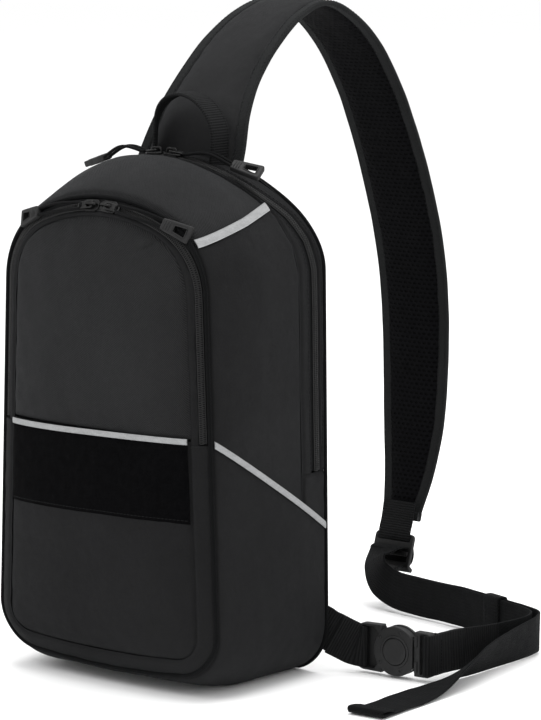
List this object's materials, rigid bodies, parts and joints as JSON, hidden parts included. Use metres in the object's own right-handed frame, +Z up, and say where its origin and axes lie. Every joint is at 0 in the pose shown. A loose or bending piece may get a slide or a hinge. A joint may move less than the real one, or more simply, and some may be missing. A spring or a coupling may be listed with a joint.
{
  "type": "sling backpack",
  "caption": "Arched single-strap sling backpack with a zipped front pocket, padded shoulder strap, ladder lock and centre-release buckle.",
  "frame": {"origin": "middle of the flat bottom, which the bag stands on", "axes": "+Z up, -Y out of the front pocket, +X to the right as seen from the front"},
  "size_m": [0.319, 0.3816, 0.4815],
  "materials": {
    "twill_fabric": "coarse diagonal twill nylon, matt black, fine visible weave",
    "plain_fabric": "plain-weave polyester, matt black, lightly padded",
    "air_mesh": "three-layer air mesh with oval holes, black",
    "lining": "light plain-weave lining, dark grey",
    "loop_pile": "short loop pile of a hook-and-loop panel, black",
    "reflective_tape": "satin silver-grey retroreflective tape",
    "zip_tape": "ribbed woven zip tape, black",
    "zip_coil": "nylon coil, satin black",
    "slider_metal": "dark nickel, worn edges",
    "pull_cord": "braided cord, black",
    "grip_rubber": "soft moulded rubber, matt black",
    "moulded_plastic": "acetal, fine spark-eroded texture, black",
    "webbing": "ribbed polyester webbing, black"
  },
  "bodies": {
    "bag": {"top_panel": "twill_fabric", "left_side_panel": "plain_fabric", "right_side_panel": "plain_fabric", "lower_shell": "plain_fabric", "main_zip_gusset": "plain_fabric", "rear_gusset": "plain_fabric", "back_panel": "plain_fabric", "back_pads": "air_mesh", "front_wall": "lining", "tablet_sleeve": "lining", "main_zip_tape": "zip_tape", "main_zip_coils": "zip_coil", "pocket_gusset": "plain_fabric", "pocket_lower_panel": "plain_fabric", "loop_patch": "loop_pile", "front_tape": "reflective_tape", "pocket_piping": "plain_fabric", "pocket_zip_tape": "zip_tape", "pocket_zip_coil": "zip_coil", "pocket_organiser": "lining", "upper_tape_left": "reflective_tape", "upper_tape_right": "reflective_tape", "lower_tape_left": "reflective_tape", "lower_tape_right": "reflective_tape", "bag_webbing": "webbing", "buckle_female": "moulded_plastic", "main_webbing": "webbing", "free_webbing": "webbing"},
    "flap": {"flap_panel": "twill_fabric", "flap_gusset": "plain_fabric", "flap_zip_tape": "zip_tape", "flap_zip_coil": "zip_coil"},
    "pocket_slider_left": {"pocket_slider_left": "slider_metal"},
    "pocket_pull_left": {"pocket_cord_left": "pull_cord", "pocket_grip_left": "grip_rubber"},
    "pocket_slider_right": {"pocket_slider_right": "slider_metal"},
    "pocket_pull_right": {"pocket_cord_right": "pull_cord", "pocket_grip_right": "grip_rubber"},
    "main_slider_left": {"main_slider_left": "slider_metal"},
    "main_pull_left": {"main_cord_left": "pull_cord", "main_grip_left": "grip_rubber"},
    "main_slider_right": {"main_slider_right": "slider_metal"},
    "main_pull_right": {"main_cord_right": "pull_cord", "main_grip_right": "grip_rubber"},
    "handle": {"grab_handle": "webbing"},
    "strap": {"strap_pad": "plain_fabric", "strap_mesh": "air_mesh", "strap_end_tab": "webbing"},
    "lock": {"ladder_lock": "moulded_plastic"},
    "button": {"release_button": "moulded_plastic"},
    "male": {"buckle_male": "moulded_plastic"},
    "keeper": {"keeper": "webbing"}
  },
  "joints": [
    {"name": "pocket_flap_fold", "type": "hinge", "parent": "bag", "child": "flap", "pos_m": [0, -0.0726, 0.187], "axis": [1, 0, 0], "range_deg": [0, 78]},
    {"name": "pocket_slider_left_travel", "type": "hinge", "parent": "flap", "child": "pocket_slider_left", "pos_m": [0, -0.0635, 0.201], "axis": [0, -1, 0], "range_deg": [0, 16]},
    {"name": "main_slider_left_travel", "type": "hinge", "parent": "bag", "child": "main_slider_left", "pos_m": [0, 0.06397, 0.29984], "axis": [0, -0.7809, -0.6247], "range_deg": [0, 40]},
    {"name": "pocket_pull_left_swing", "type": "hinge", "parent": "pocket_slider_left", "child": "pocket_pull_left", "pos_m": [-0.00709, -0.06714, 0.34596], "axis": [-0.0434, 0.4603, 0.8867], "range_deg": [0, 70]},
    {"name": "main_pull_left_swing", "type": "hinge", "parent": "main_slider_left", "child": "main_pull_left", "pos_m": [-0.00723, 0.00417, 0.37869], "axis": [0.0455, 0.999, 0.0013], "range_deg": [0, 50]},
    {"name": "pocket_slider_right_travel", "type": "hinge", "parent": "flap", "child": "pocket_slider_right", "pos_m": [0, -0.0635, 0.201], "axis": [0, 1, 0], "range_deg": [0, 16]},
    {"name": "main_slider_right_travel", "type": "hinge", "parent": "bag", "child": "main_slider_right", "pos_m": [0, 0.06397, 0.29984], "axis": [0, 0.7809, 0.6247], "range_deg": [0, 40]},
    {"name": "pocket_pull_right_swing", "type": "hinge", "parent": "pocket_slider_right", "child": "pocket_pull_right", "pos_m": [0.00709, -0.06714, 0.34596], "axis": [-0.0434, -0.4603, -0.8867], "range_deg": [0, 70]},
    {"name": "main_pull_right_swing", "type": "hinge", "parent": "main_slider_right", "child": "main_pull_right", "pos_m": [0.00723, 0.00417, 0.37869], "axis": [0.0455, -0.999, -0.0013], "range_deg": [0, 50]},
    {"name": "grab_handle_fold", "type": "hinge", "parent": "bag", "child": "handle", "pos_m": [0, 0.024, 0.38], "axis": [1, 0, 0], "range_deg": [0, 27]},
    {"name": "strap_root_bend", "type": "hinge", "parent": "bag", "child": "strap", "pos_m": [0, 0.038, 0.379], "axis": [1, 0, 0], "range_deg": [0, 8]},
    {"name": "ladder_lock_tilt", "type": "hinge", "parent": "strap", "child": "lock", "pos_m": [0, 0.2782, 0.0557], "axis": [1, 0, 0], "range_deg": [-10, 30]},
    {"name": "release_button_press", "type": "slide", "parent": "bag", "child": "button", "axis": [-0.0698, 0.9976, 0], "range_m": [0, 0.0012], "stiffness_N_per_m": 300},
    {"name": "buckle_release", "type": "slide", "parent": "bag", "child": "male", "axis": [0.9976, 0.0698, 0], "range_m": [0, 0.022]},
    {"name": "keeper_slide", "type": "slide", "parent": "bag", "child": "keeper", "axis": [0.9588, -0.284, 0], "range_m": [-0.006, 0.006]}
  ]
}
